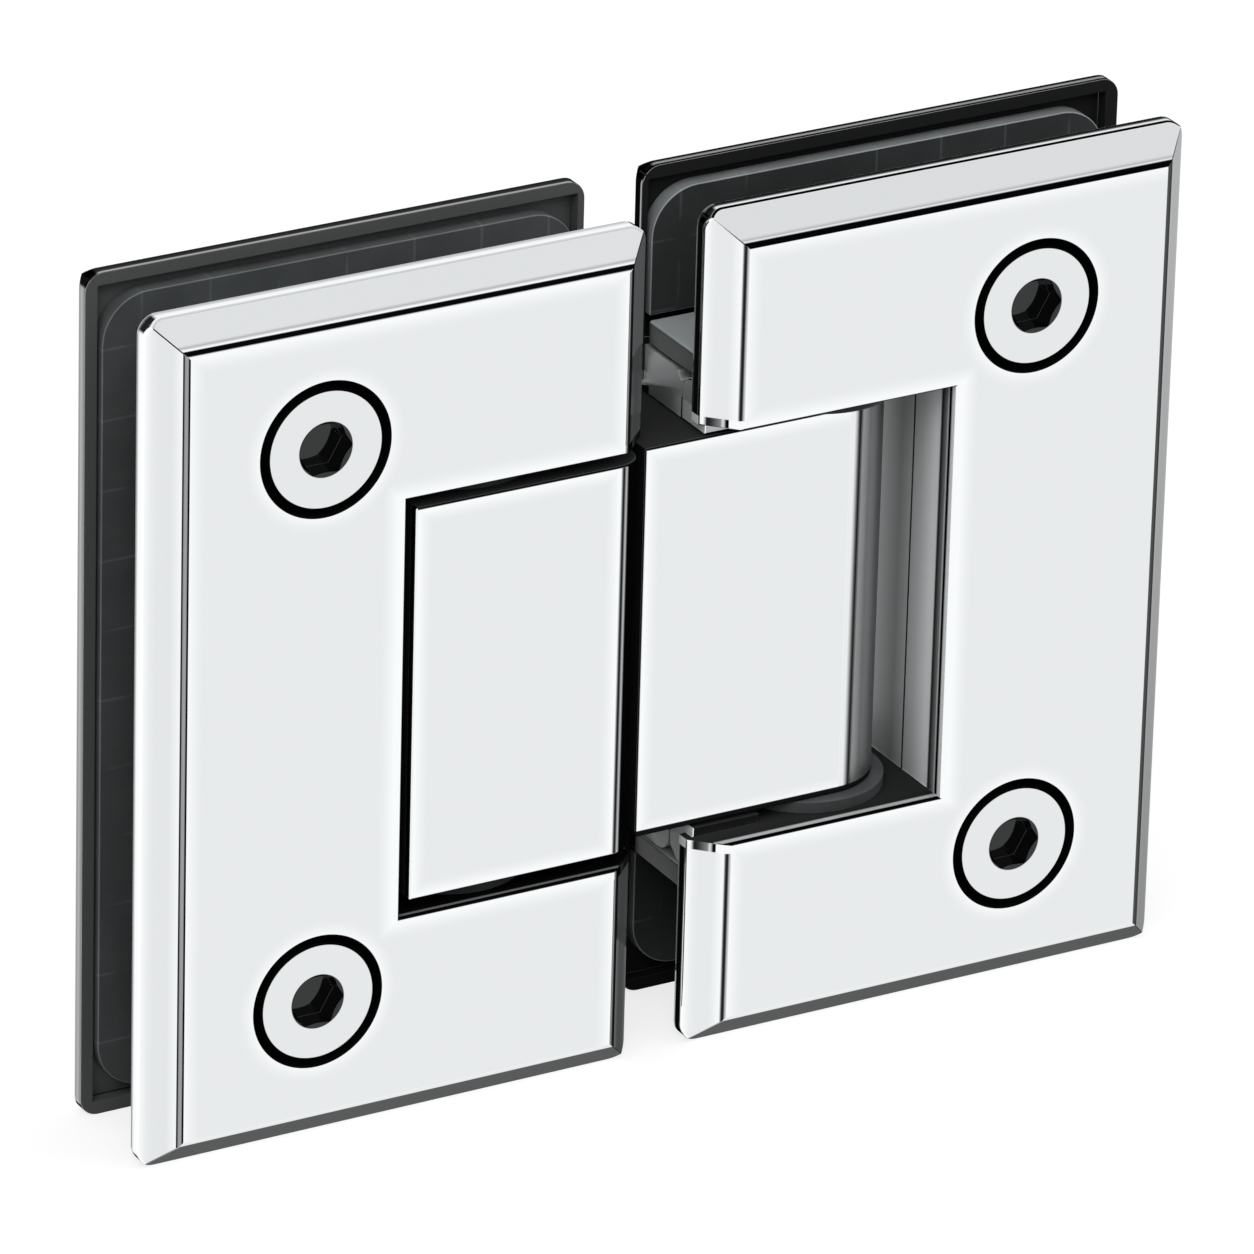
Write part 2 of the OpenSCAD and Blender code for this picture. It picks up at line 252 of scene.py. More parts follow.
def surface_group() -> bpy.types.NodeTree:
    """Tells where a point of the surface lies and how it is turned.

    Side, Depth and Height are its X, Y and Z in millimetres from the hinge's middle.
    Turn is the angle in degrees that it is turned off the front or the back: the arc
    cosine of the normal's part along Y. Up and Out are the normal's parts along Z and
    along X, the latter counted away from the middle.

    Returns:
        The group.
    """
    names = ("Side", "Depth", "Height", "Turn", "Up", "Out")
    nodes, source, sink = new_group("surface", {"Middle": MIDDLE}, names)
    place = nodes.add("TexCoord")
    point = nodes.add("SeparateXYZ")
    nodes.link(place.outputs["Object"], point.inputs[0])
    side, depth, level = (nodes.math("DIVIDE", point.outputs[axis], MM) for axis in "XYZ")
    nodes.link(side, sink.inputs["Side"])
    nodes.link(depth, sink.inputs["Depth"])
    nodes.link(nodes.math("SUBTRACT", level, source.outputs["Middle"]), sink.inputs["Height"])
    facing = nodes.add("SeparateXYZ")
    nodes.link(place.outputs["Normal"], facing.inputs[0])
    turn = nodes.math("ARCCOSINE", nodes.math("ABSOLUTE", facing.outputs["Y"]))
    nodes.link(nodes.math("DEGREES", turn), sink.inputs["Turn"])
    nodes.link(facing.outputs["Z"], sink.inputs["Up"])
    out = nodes.math("MULTIPLY", facing.outputs["X"], nodes.math("SIGN", side))
    nodes.link(out, sink.inputs["Out"])
    return nodes.tree


def screw_group() -> bpy.types.NodeTree:
    """Returns the group that gives the millimetres from the nearest screw's axis."""
    usual = {"Side": 0.0, "Height": 0.0}
    nodes, source, sink = new_group("screw distance", usual, ("Distance",))
    squares = []
    for name, away in (("Side", SCREW_SIDE), ("Height", SCREW_HEIGHT)):
        gap = nodes.math("SUBTRACT", nodes.math("ABSOLUTE", source.outputs[name]), away)
        squares.append(nodes.math("MULTIPLY", gap, gap))
    nodes.link(nodes.math("SQRT", nodes.math("ADD", *squares)), sink.inputs["Distance"])
    return nodes.tree


def glow_group() -> bpy.types.NodeTree:
    """Returns the group that masks a face's painted highlight: 1 falls to 0 as Near rises to
    Width.
    """
    falling = 1.6
    nodes, source, sink = new_group("painted face highlight", {"Near": 0.0, "Width": 1.8}, ("Mask",))
    near = nodes.math("MAXIMUM", source.outputs["Near"], 0.0)
    share = nodes.math("DIVIDE", near, source.outputs["Width"])
    left = nodes.inverse(nodes.math("MINIMUM", share, 1.0))
    nodes.link(nodes.math("POWER", left, falling), sink.inputs["Mask"])
    return nodes.tree


def polish_group() -> bpy.types.NodeTree:
    """Returns the group that varies slowly and finely over a surface, both from -1 to 1."""
    usual = {"Slow size": 60.0, "Fine size": 900.0}
    nodes, source, sink = new_group("polish", usual, ("Slow", "Fine"))
    place = nodes.add("TexCoord")
    for size, out in (("Slow size", "Slow"), ("Fine size", "Fine")):
        noise = nodes.add("TexNoise")
        nodes.link(place.outputs["Object"], noise.inputs["Vector"])
        nodes.link(source.outputs[size], noise.inputs["Scale"])
        noise.inputs["Detail"].default_value = 3.0
        centred = nodes.math("SUBTRACT", noise.outputs["Fac"], 0.5)
        nodes.link(nodes.math("MULTIPLY", centred, 2.0), sink.inputs[out])
    return nodes.tree


def grid_group() -> bpy.types.NodeTree:
    """Returns the group that masks a gasket's faint moulded lines, crossing along X and Z."""
    usual = {"Side": 0.0, "Height": 0.0, "Pitch": 7.4, "Half width": 0.07, "Fade": 0.12}
    nodes, source, sink = new_group("moulded grid", usual, ("Mask",))
    outer = nodes.math("ADD", source.outputs["Half width"], source.outputs["Fade"])
    rises = []
    for axis in ("Side", "Height"):
        half = nodes.math("MULTIPLY", source.outputs["Pitch"], 0.5)
        step = nodes.math("PINGPONG", source.outputs[axis], half)
        rises.append(nodes.ramp(step, outer, source.outputs["Half width"]))
    nodes.link(nodes.math("MAXIMUM", *rises), sink.inputs["Mask"])
    return nodes.tree


class Painter:
    """A new material with its shader and the nodes that tell where its surface lies.

    Depth, across and level are millimetres from the hinge's middle. Upright masks what faces
    up or down and not sideways, front what lies in front of the middle plane, and corner
    rises where an edge turns a corner.
    """

    METAL_FROM = 0.35
    FRONT: Step = (1.0, -1.0)

    def __init__(self, name: str, groups: dict[str, bpy.types.NodeTree]) -> None:
        """Makes the material.

        Args:
            name: Name of the material.
            groups: The shared node groups by name.
        """
        self.material = bpy.data.materials.new(name)
        self.material.use_nodes = True
        self.groups = groups
        self.nodes = Nodes(self.material.node_tree)
        out = self.nodes.add("OutputMaterial")
        self.shader = self.nodes.add("BsdfPrincipled")
        self.nodes.link(self.shader.outputs[0], out.inputs["Surface"])
        self.surface = self.group("surface").outputs
        self.depth = self.nodes.math("ABSOLUTE", self.surface["Depth"])
        self.across = self.nodes.math("ABSOLUTE", self.surface["Side"])
        self.level = self.nodes.math("ABSOLUTE", self.surface["Height"])
        up, out = (self.nodes.math("ABSOLUTE", self.surface[name]) for name in ("Up", "Out"))
        self.corner = self.nodes.math("MINIMUM", up, out)
        self.upright = self.nodes.positive(self.nodes.math("SUBTRACT", up, out))
        self.front = self.nodes.ramp(self.surface["Depth"], *self.FRONT)

    def group(self, name: str, **given: object) -> bpy.types.Node:
        """Places a shared group, with sockets or numbers for its inputs by their names."""
        node = self.nodes.add("Group", node_tree=self.groups[name])
        for label, value in given.items():
            self.nodes.put(value, node.inputs[label.replace("_", " ")])
        return node

    def screw_distance(self) -> bpy.types.NodeSocket:
        """Returns the distance from the nearest screw's axis in millimetres."""
        given = {name: self.surface[name] for name in ("Side", "Height")}
        return self.group("screw distance", **given).outputs["Distance"]

    def polar(self, along: str, below: Given, above: Given) -> bpy.types.NodeSocket:
        """Picks one of two tones by the sign of the normal's part, Out or Up."""
        return self.nodes.blend(self.nodes.positive(self.surface[along]), below, above)

    def by_turn(self, points: Curve) -> bpy.types.NodeSocket:
        """Returns a curve's tone over the turn."""
        return self.nodes.curve(self.surface["Turn"], points)

    def by_depth(self, points: Curve) -> bpy.types.NodeSocket:
        """Returns a curve's tone over the distance from the middle plane."""
        return self.nodes.curve(self.depth, points)

    def paint(self, tone: bpy.types.NodeSocket, tint: Colour) -> None:
        """Colours the shader with a tint, scaled by a tone."""
        scaled = self.nodes.add("VectorMath", operation="SCALE")
        scaled.inputs[0].default_value = tint
        self.nodes.link(tone, scaled.inputs["Scale"])
        self.nodes.link(scaled.outputs[0], self.shader.inputs["Base Color"])

    def plate(self, tone: bpy.types.NodeSocket, satin: Given = 0.0) -> None:
        """Makes the shader metal, less so where satin or painted dark: painted dark lines mirror
        nothing.
        """
        share = self.nodes.ramp(tone, 0.0, self.METAL_FROM)
        metal = self.nodes.every(share, self.nodes.inverse(satin))
        self.nodes.link(metal, self.shader.inputs["Metallic"])
        self.shader.inputs["Specular IOR Level"].default_value = 0.0

    def roughen(self, roughness: Given, play: float, size: float = 900.0) -> None:
        """Gives the shader a roughness that plays finely round its middle value."""
        polish = self.group("polish", Fine_size=size)
        varied = self.nodes.math("MULTIPLY", polish.outputs["Fine"], play)
        self.nodes.link(self.nodes.math("ADD", varied, roughness), self.shader.inputs["Roughness"])


@dataclass(frozen=True)
class Finish:
    """A finish with its own material, which its dress method paints."""

    name: str

    def make(self, groups: dict[str, bpy.types.NodeTree]) -> bpy.types.Material:
        """Builds the material.

        Args:
            groups: The shared node groups by name.

        Returns:
            The material.
        """
        work = Painter(self.name, groups)
        self.dress(work)
        return work.material

    def dress(self, work: Painter) -> None:
        """Paints the material's nodes."""
        raise NotImplementedError


@dataclass(frozen=True)
class LeafZones:
    """Where the zones of a leaf lie, in millimetres from the hinge's middle or in degrees.

    A pair gives where a zone's mask is 0 and where it is 1. The face sizes tell where the
    flat faces end.
    """

    notch_side: Step = (31.95, 31.85)
    notch_level: Step = (23.45, 23.35)
    wall_turn: Step = (61.0, 76.0)
    wall_depth: Step = (9.0, 8.9)
    front_rim: Step = (84.0, 89.0)
    back_rim: Step = (50.0, 56.0)
    rim_turn: Step = (30.0, 60.0)
    outer_rim: Step = (57.0, 57.1)
    hinge_rim: Step = (3.6, 3.5)
    end_rim: Step = (44.2, 44.3)
    rim_corner: Step = (0.2, 0.4)
    bevel_turn: Step = (12.0, 24.0)
    bevel_depth: Step = (8.8, 9.2)
    bevel_start: Step = (44.6, 44.9)
    bevel_end: Step = (45.4, 45.1)
    past_pocket: Step = (6.6, 6.7)
    flat_turn: Step = (4.0, 2.0)
    flat_depth: Step = (9.2, 9.6)
    counterbore: Step = (7.14, 7.10)
    patch_out: Step = (-0.5, -0.7)
    patch_turn: Step = (41.0, 44.0)
    patch_height: Step = (32.3, 32.9)
    face_notch_side: float = 31.65
    face_notch_level: float = 22.85
    face_hinge: float = 6.7
    face_outer: float = 54.2
    face_top: float = 41.5
    face_hole: float = 7.0
    no_hole: float = 9.0


LEAF = LeafZones()


@dataclass(frozen=True)
class LeafChrome(Finish):
    """Chrome plate of a leaf, with painted reflections and painted shade in its colour.

    Edge curves run over the turn in degrees: 0 is the face, 45 the bevel and 90 the rim.
    Rim, bevel, inner, wall and arm curves run over the distance from the middle plane in
    millimetres. The satin numbers tell how much of the mirror a wall loses. All the curves are
    painted light and shade: dark lines and bright bands on edges and bevels, darker rims and
    inner faces, and shade deeper in the notch.
    """

    tint: Colour = CHROME_TINT
    face: float = 0.835
    # margin: painted highlight along the faces' edges
    margin: float = 0.975
    # painted shade: tone of the counterbores round the screws, painted black
    recess: float = 0.004
    # edge, rim, bevel, inner, notch, wall and arm curves: painted reflections and painted shade
    outer_edge: Curve = ()
    hinge_edge: Curve = ()
    top_edge: Curve = ()
    bottom_edge: Curve = ((0.0, 0.95), (10.0, 0.85), (45.0, 0.82), (60.0, 0.6), (90.0, 0.3))
    front_side_rim: Curve = ((5.35, 0.08), (5.6, 0.3), (5.85, 0.8), (6.05, 0.98))
    front_top_rim: Curve = ()
    back_side_rim: Curve = ((5.35, 0.2), (6.1, 0.42), (6.3, 0.31))
    back_top_rim: Curve = ((5.35, 0.3), (5.6, 0.36), (5.75, 0.04), (6.3, 0.02))
    hinge_rim: Curve = ((5.35, 0.4), (5.6, 0.4), (5.72, 0.006))
    # painted shade where the rims turn a corner
    rim_corner: float = 0.02
    # painted highlight on the side bevels towards their two edges
    bevel_glow: Curve = ((6.9, 0.15), (7.4, 0.03), (7.8, 0.0), (8.8, 0.0), (9.5, 0.14))
    top_bevel: Curve = ((9.02, 0.76), (9.22, 0.47), (9.39, 0.97), (9.45, 0.97), (9.51, 0.003))
    inner: Curve = ((0.0, 0.14), (5.1, 0.14), (5.3, 0.11))
    inner_line: Curve = ((12.0, 0.0), (32.0, 0.035), (60.0, 0.035), (78.0, 0.0))
    notch_edge: Curve = ((3.0, 0.97), (12.0, 0.3), (24.0, 0.003), (60.0, 0.003))
    notch_side: Curve = ((3.0, 0.97), (12.0, 0.3), (24.0, 0.003), (60.0, 0.003))
    wall: Curve = ((0.0, 0.01), (8.2, 0.01), (8.6, 0.04), (9.0, 0.04), (9.3, 0.003))
    arm: Curve = ((8.9, 0.004), (9.08, 0.22), (9.32, 0.22), (9.42, 0.002))
    # painted shade on the bevel's upper part beside the knuckle
    hinge_patch: float = 0.0
    # whether the painted highlight also runs along the face's outer edge
    outer_glow: bool = True
    satin: float = 0.0
    arm_satin: float = 0.85
    inner_satin: float = 0.7
    patch_satin: float = 0.9
    roughness: float = 0.035
    satin_roughness: float = 0.5
    play: float = 0.012

    def dress(self, work: Painter) -> None:
        """Paints the material's nodes."""
        nodes, turn = work.nodes, work.surface["Turn"]
        notch = nodes.every(
            nodes.ramp(work.across, *LEAF.notch_side), nodes.ramp(work.level, *LEAF.notch_level)
        )
        outside = self.outside(work)
        flat = nodes.every(
            nodes.ramp(turn, *LEAF.flat_turn), nodes.ramp(work.depth, *LEAF.flat_depth)
        )
        # painted shade on the pocket and inner faces, with painted dark lines there
        inside = nodes.math("MAXIMUM", work.by_depth(self.inner), work.by_turn(self.inner_line))
        tone = nodes.blend(outside, inside, self.border(work))
        tone = nodes.blend(notch, tone, self.notched(work))
        tone = nodes.blend(flat, tone, self.faces(work))
        satin = nodes.blend(work.upright, self.satin, self.arm_satin)
        satin = nodes.every(nodes.ramp(turn, *LEAF.wall_turn), satin)
        buried = nodes.inverse(nodes.math("MAXIMUM", outside, flat))
        satin = nodes.blend(notch, nodes.every(buried, self.inner_satin), satin)
        # painted shade on the bevel's upper part beside the knuckle
        if self.hinge_patch:
            patch = self.patch(work)
            satin = nodes.math("MAXIMUM", satin, nodes.every(patch, self.patch_satin))
            tone = nodes.blend(patch, tone, self.hinge_patch)
        # painted shade: the counterbores round the screws are painted black
        bored = nodes.every(work.front, nodes.ramp(work.screw_distance(), *LEAF.counterbore))
        tone = nodes.blend(bored, tone, self.recess)
        work.paint(tone, self.tint)
        work.plate(tone, satin)
        rough = nodes.math("ADD", nodes.every(satin, self.satin_roughness), self.roughness)
        work.roughen(rough, self.play)

    def outside(self, work: Painter) -> bpy.types.NodeSocket:
        """Returns a mask of the rims and of the bevels and what lies outside them."""
        nodes, turn = work.nodes, work.surface["Turn"]
        beside = nodes.math(
            "MAXIMUM",
            nodes.ramp(work.across, *LEAF.outer_rim),
            nodes.ramp(work.across, *LEAF.hinge_rim),
        )
        around = nodes.math("MAXIMUM", beside, nodes.ramp(work.level, *LEAF.end_rim))
        rim = nodes.every(around, nodes.ramp(turn, *LEAF.rim_turn))
        bevelled = nodes.math(
            "MAXIMUM",
            nodes.ramp(turn, *LEAF.bevel_turn),
            nodes.ramp(work.depth, *LEAF.bevel_depth),
        )
        bevelled = nodes.every(bevelled, nodes.ramp(work.depth, *LEAF.past_pocket))
        return nodes.math("MAXIMUM", rim, bevelled)

    def border(self, work: Painter) -> bpy.types.NodeSocket:
        """Returns the painted reflections and painted shade of the bevels and of the rims."""
        nodes = work.nodes
        start, full = (
            nodes.blend(work.front, *turns) for turns in zip(LEAF.back_rim, LEAF.front_rim)
        )
        rim = nodes.ramp(work.surface["Turn"], start, full)
        return nodes.blend(rim, self.edges(work), self.rims(work))

    def edges(self, work: Painter) -> bpy.types.NodeSocket:
        """Returns the painted reflections of the bevels and of the broken edges beside them."""
        nodes, surface, turn = work.nodes, work.surface, work.surface["Turn"]
        on_bevel = nodes.ramp(turn, *LEAF.bevel_start)
        sides = work.polar("Out", work.by_turn(self.hinge_edge), work.by_turn(self.outer_edge))
        ends = work.polar("Up", work.by_turn(self.bottom_edge), work.by_turn(self.top_edge))
        # painted highlight added on the side bevels
        sides = nodes.math("ADD", sides, nodes.every(work.by_depth(self.bevel_glow), on_bevel))
        upward = nodes.positive(surface["Up"])
        plane = nodes.every(on_bevel, nodes.ramp(turn, *LEAF.bevel_end), upward)
        ends = nodes.blend(plane, ends, work.by_depth(self.top_bevel))
        return nodes.blend(work.upright, sides, ends)

    def rims(self, work: Painter) -> bpy.types.NodeSocket:
        """Returns the painted tone of the rims, with painted shade darkest where they turn a
        corner.
        """
        nodes = work.nodes
        side, ends = (
            nodes.blend(work.front, work.by_depth(back), work.by_depth(before))
            for back, before in (
                (self.back_side_rim, self.front_side_rim), (self.back_top_rim, self.front_top_rim),
            )
        )
        side = work.polar("Out", work.by_depth(self.hinge_rim), side)
        corner = nodes.ramp(work.corner, *LEAF.rim_corner)
        lit = nodes.math("MAXIMUM", nodes.inverse(corner), self.rim_corner)
        return nodes.every(nodes.blend(work.upright, side, ends), lit)

    def notched(self, work: Painter) -> bpy.types.NodeSocket:
        """Returns the painted shade of the notch's walls and the painted reflections of its broken
        edges.
        """
        nodes, turn = work.nodes, work.surface["Turn"]
        walls = nodes.blend(work.upright, work.by_depth(self.wall), work.by_depth(self.arm))
        edge = nodes.blend(
            work.upright, work.by_turn(self.notch_side), work.by_turn(self.notch_edge)
        )
        inward = nodes.math(
            "MAXIMUM", nodes.ramp(turn, *LEAF.wall_turn), nodes.ramp(work.depth, *LEAF.wall_depth)
        )
        return nodes.blend(inward, edge, walls)

    def patch(self, work: Painter) -> bpy.types.NodeSocket:
        """Returns a mask of the bevel's upper part on the side of the knuckle, where shade is
        painted.
        """
        steps = (
            (work.surface["Out"], LEAF.patch_out),
            (work.surface["Turn"], LEAF.patch_turn),
            (work.surface["Height"], LEAF.patch_height),
            (work.depth, LEAF.past_pocket),
        )
        return work.nodes.every(*(work.nodes.ramp(value, *step) for value, step in steps))

    def faces(self, work: Painter) -> bpy.types.NodeSocket:
        """Returns the tone of the front and back faces, with a painted highlight along their
        edges.
        """
        nodes = work.nodes
        beside = nodes.math("SUBTRACT", work.across, LEAF.face_notch_side)
        beyond = nodes.math("SUBTRACT", work.level, LEAF.face_notch_level)
        near = nodes.math("MAXIMUM", beside, beyond)
        away = nodes.every(nodes.inverse(work.front), LEAF.no_hole)
        hole = nodes.math("ADD", work.screw_distance(), away)
        sides = [
            (work.across, LEAF.face_hinge),
            (LEAF.face_top, work.surface["Height"]),
            (hole, LEAF.face_hole),
        ]
        if self.outer_glow:
            sides.append((LEAF.face_outer, work.across))
        for first, second in sides:
            near = nodes.math("MINIMUM", near, nodes.math("SUBTRACT", first, second))
        # painted highlight along the faces' edges
        mask = work.group("painted face highlight", Near=near).outputs["Mask"]
        return nodes.blend(mask, self.face, self.margin)


@dataclass(frozen=True)
class BodyZones:
    """Where the zones of the hinge body lie. Its pairs read as those of LeafZones do."""

    knuckle: Step = (-3.4, -3.2)
    past_neck: Step = (0.0, 1.0)
    flat_turn: Step = (0.9, 0.3)
    lip_depth: Step = (8.4, 8.62)
    lip_turn: Step = (4.0, 8.0)
    lip_side: Step = (-0.05, -0.12)
    below: Step = (-20.26, -20.36)
    round_turn: Step = (12.0, 16.0)
    round_side: Step = (19.0, 20.0)
    half_height: float = 20.5
    block_face: Step = (-28.9, -6.9)
    knuckle_face: Step = (-2.2, 99.0)
    face_margin: float = 1.5


BODY = BodyZones()


@dataclass(frozen=True)
class BodyChrome(Finish):
    """Chrome of the hinge body, with painted reflections and painted shade in its colour.

    Its curves run over the turn in degrees off the front.
    """

    name: str = "body_chrome"
    tint: Colour = CHROME_TINT
    face: float = 0.835
    # margin: painted highlight along the faces' edges
    margin: float = 0.975
    # lip: painted highlight, a light line on the fixed block's sides near the front
    lip: float = 0.9
    # below: painted shade, a dark line along the knuckle's lowest edge
    below: float = 0.01
    knuckle: Curve = (
        (5.0, 0.85), (9.0, 0.15), (10.8, 0.002), (14.5, 0.3), (26.5, 0.45), (42.0, 0.3),
        (90.0, 0.1),
    )
    block: Curve = (
        (0.3, 0.95), (4.0, 0.2), (6.0, 0.03), (8.4, 0.012), (13.6, 0.5), (18.5, 0.01),
        (20.0, 0.002),
    )
    near_side: Curve = (
        (2.0, 0.95), (12.0, 0.9), (30.0, 0.004), (48.0, 0.004), (60.0, 0.2), (75.0, 0.004),
        (84.0, 0.006), (88.0, 0.02),
    )
    top: Curve = (
        (2.0, 0.95), (10.0, 0.25), (20.0, 0.005), (50.0, 0.005), (64.0, 0.09), (80.0, 0.05),
        (90.0, 0.04),
    )
    bottom: Curve = ((2.0, 0.95), (10.0, 0.4), (20.0, 0.004), (90.0, 0.004))
    roughness: float = 0.04
    round_roughness: float = 0.3
    play: float = 0.012

    def dress(self, work: Painter) -> None:
        """Paints the material's nodes."""
        nodes, surface, turn = work.nodes, work.surface, work.surface["Turn"]
        knuckle = nodes.ramp(surface["Side"], *BODY.knuckle)
        rightward = nodes.every(surface["Out"], nodes.math("SIGN", surface["Side"]))
        right = nodes.blend(
            nodes.ramp(surface["Side"], *BODY.past_neck),
            work.by_turn(self.block),
            work.by_turn(self.knuckle),
        )
        sides = nodes.blend(nodes.positive(rightward), work.by_turn(self.near_side), right)
        ends = work.polar("Up", work.by_turn(self.bottom), work.by_turn(self.top))
        tone = nodes.blend(work.upright, sides, ends)
        flat = nodes.ramp(turn, *BODY.flat_turn)
        tone = nodes.blend(flat, tone, self.faces(work, knuckle))
        # painted highlight on the block's sides near the front
        lip = nodes.every(
            nodes.ramp(work.depth, *BODY.lip_depth),
            nodes.ramp(turn, *BODY.lip_turn),
            nodes.inverse(knuckle),
            nodes.ramp(rightward, *BODY.lip_side),
        )
        tone = nodes.blend(lip, tone, self.lip)
        # painted shade along the knuckle's lowest edge
        below = nodes.every(nodes.ramp(surface["Height"], *BODY.below), knuckle)
        tone = nodes.blend(below, tone, self.below)
        work.paint(tone, self.tint)
        work.plate(tone)
        end = nodes.every(
            nodes.ramp(turn, *BODY.round_turn), nodes.ramp(surface["Side"], *BODY.round_side)
        )
        rough = nodes.math("ADD", nodes.every(end, self.round_roughness), self.roughness)
        work.roughen(rough, self.play)

    def faces(self, work: Painter, knuckle: bpy.types.NodeSocket) -> bpy.types.NodeSocket:
        """Returns the tone of its faces, with a painted highlight along their edges, where knuckle
        masks what isn't the fixed block.
        """
        nodes, side = work.nodes, work.surface["Side"]
        low, high = (
            nodes.blend(knuckle, *ends) for ends in zip(BODY.block_face, BODY.knuckle_face)
        )
        near = nodes.math("SUBTRACT", BODY.half_height, work.level)
        near = nodes.math("MINIMUM", near, nodes.math("SUBTRACT", side, low))
        near = nodes.math("MINIMUM", near, nodes.math("SUBTRACT", high, side))
        mask = work.group("painted face highlight", Near=near, Width=BODY.face_margin).outputs["Mask"]
        return nodes.blend(mask, self.face, self.margin)


@dataclass(frozen=True)
class ScrewChrome(Finish):
    """Chrome of the flat screw heads, with painted shade: black in the ring round them and in
    their sockets.

    The steps run over the distance from the screw's axis, head_depth over the distance
    from the hinge's middle plane, both in millimetres.
    """

    name: str = "screw_chrome"
    tint: Colour = CHROME_TINT
    face: float = 0.82
    # painted shade in the gap round the heads and in the sockets
    ring: float = 0.004
    socket: float = 0.045
    in_socket: Step = (2.94, 2.86)
    past_socket: Step = (3.3, 3.4)
    past_head: Step = (6.0, 6.04)
    head_depth: Step = (9.7, 9.6)
    roughness: float = 0.05
    play: float = 0.015

    def dress(self, work: Painter) -> None:
        """Paints the material's nodes."""
        nodes, distance = work.nodes, work.screw_distance()
        tone = nodes.blend(nodes.ramp(distance, *self.in_socket), self.face, self.socket)
        edge = nodes.math(
            "MAXIMUM",
            nodes.ramp(distance, *self.past_head),
            nodes.ramp(work.depth, *self.head_depth),
        )
        outside = nodes.every(edge, nodes.ramp(distance, *self.past_socket))
        work.paint(nodes.blend(outside, tone, self.ring), self.tint)
        work.plate(nodes.blend(outside, 1.0, self.ring))
        work.roughen(self.roughness, self.play)


@dataclass(frozen=True)
class Steel(Finish):
    """Ground or drawn steel of the inner working pieces."""

    tint: Colour = (0.42, 0.43, 0.45)
    clouds: float = 0.1
    roughness: float = 0.28
    play: float = 0.08
    grain: float = 1500.0

    def dress(self, work: Painter) -> None:
        """Paints the material's nodes."""
        slow = work.nodes.every(work.group("polish").outputs["Slow"], self.clouds)
        work.paint(work.nodes.math("ADD", slow, 1.0), self.tint)
        work.roughen(self.roughness, self.play, self.grain)
        work.shader.inputs["Metallic"].default_value = 1.0


@dataclass(frozen=True)
class Soft(Finish):
    """Soft vinyl or nylon. Its curve gives the tone over the turn in degrees off the front:
    painted light and shade, lighter on its sides and broken edges.

    Grid tells how much its moulded lines show, line_tone how much brighter they are and
    line_height how far they stand out, counted in the grain's own height.
    """

    tones: Curve
    # painted light: how much lighter the faces turned up are painted
    top: float = 0.0
    tint: Colour = (0.93, 1.0, 1.02)
    sheen: Colour = (0.1, 0.1, 0.1)
    roughness: float = 0.35
    play: float = 0.06
    gloss: float = 0.2
    cloud: float = 0.3
    cloud_size: float = 170.0
    grid: float = 0.0
    line_gaps: Step = (-0.25, 0.2)
    line_tone: float = 0.04
    line_height: float = 3.0
    facing_up: Step = (0.3, 0.7)
    bump: float = 0.12
    bump_depth: float = 0.05 * MM

    def dress(self, work: Painter) -> None:
        """Paints the material's nodes."""
        nodes, surface = work.nodes, work.surface
        polish = work.group("polish", Slow_size=self.cloud_size)
        lines = work.group("moulded grid", Side=surface["Side"], Height=surface["Height"])
        broken = nodes.ramp(polish.outputs["Slow"], *self.line_gaps)
        shown = nodes.every(lines.outputs["Mask"], broken, self.grid)
        clouds = nodes.math("ADD", nodes.every(polish.outputs["Slow"], self.cloud), 1.0)
        tone = work.by_turn(self.tones)
        if self.top:
            tone = nodes.blend(nodes.ramp(surface["Up"], *self.facing_up), tone, self.top)
        tone = nodes.every(tone, clouds)
        work.paint(nodes.math("ADD", tone, nodes.every(shown, self.line_tone)), self.tint)
        work.roughen(self.roughness, self.play)
        height = nodes.math("ADD", polish.outputs["Fine"], nodes.every(shown, self.line_height))
        bump = nodes.add("Bump")
        bump.inputs["Strength"].default_value = self.bump
        bump.inputs["Distance"].default_value = self.bump_depth
        nodes.link(height, bump.inputs["Height"])
        nodes.link(bump.outputs[0], work.shader.inputs["Normal"])
        work.shader.inputs["Specular IOR Level"].default_value = self.gloss
        work.shader.inputs["Specular Tint"].default_value = colour4(self.sheen)


# The two leaves share one chrome; each gets its own painted reflections and painted shade, set for
# how it stands to the light.
FIXED_LEAF = LeafChrome(
    name="fixed_leaf_chrome",
    outer_edge=(
        (2.0, 0.8), (3.5, 0.004), (13.5, 0.002), (16.5, 0.3), (22.0, 0.36), (31.0, 0.3),
        (35.0, 0.02), (43.0, 0.02), (44.5, 0.6), (44.9, 0.82), (50.0, 0.9), (70.0, 0.97),
    ),
    hinge_edge=(
        (3.0, 0.9), (6.0, 0.1), (10.0, 0.25), (15.0, 0.3), (20.0, 0.03), (30.0, 0.004),
        (44.0, 0.01), (45.0, 0.12), (60.0, 0.12), (90.0, 0.02),
    ),
    top_edge=(
        (16.0, 0.97), (20.0, 0.4), (22.0, 0.003), (44.0, 0.003), (44.7, 0.01), (50.0, 0.7),
        (60.0, 0.62), (75.0, 0.97),
    ),
    front_top_rim=((5.35, 0.4), (5.9, 0.62), (6.15, 0.9), (6.75, 0.98)),
    hinge_patch=0.14,
)

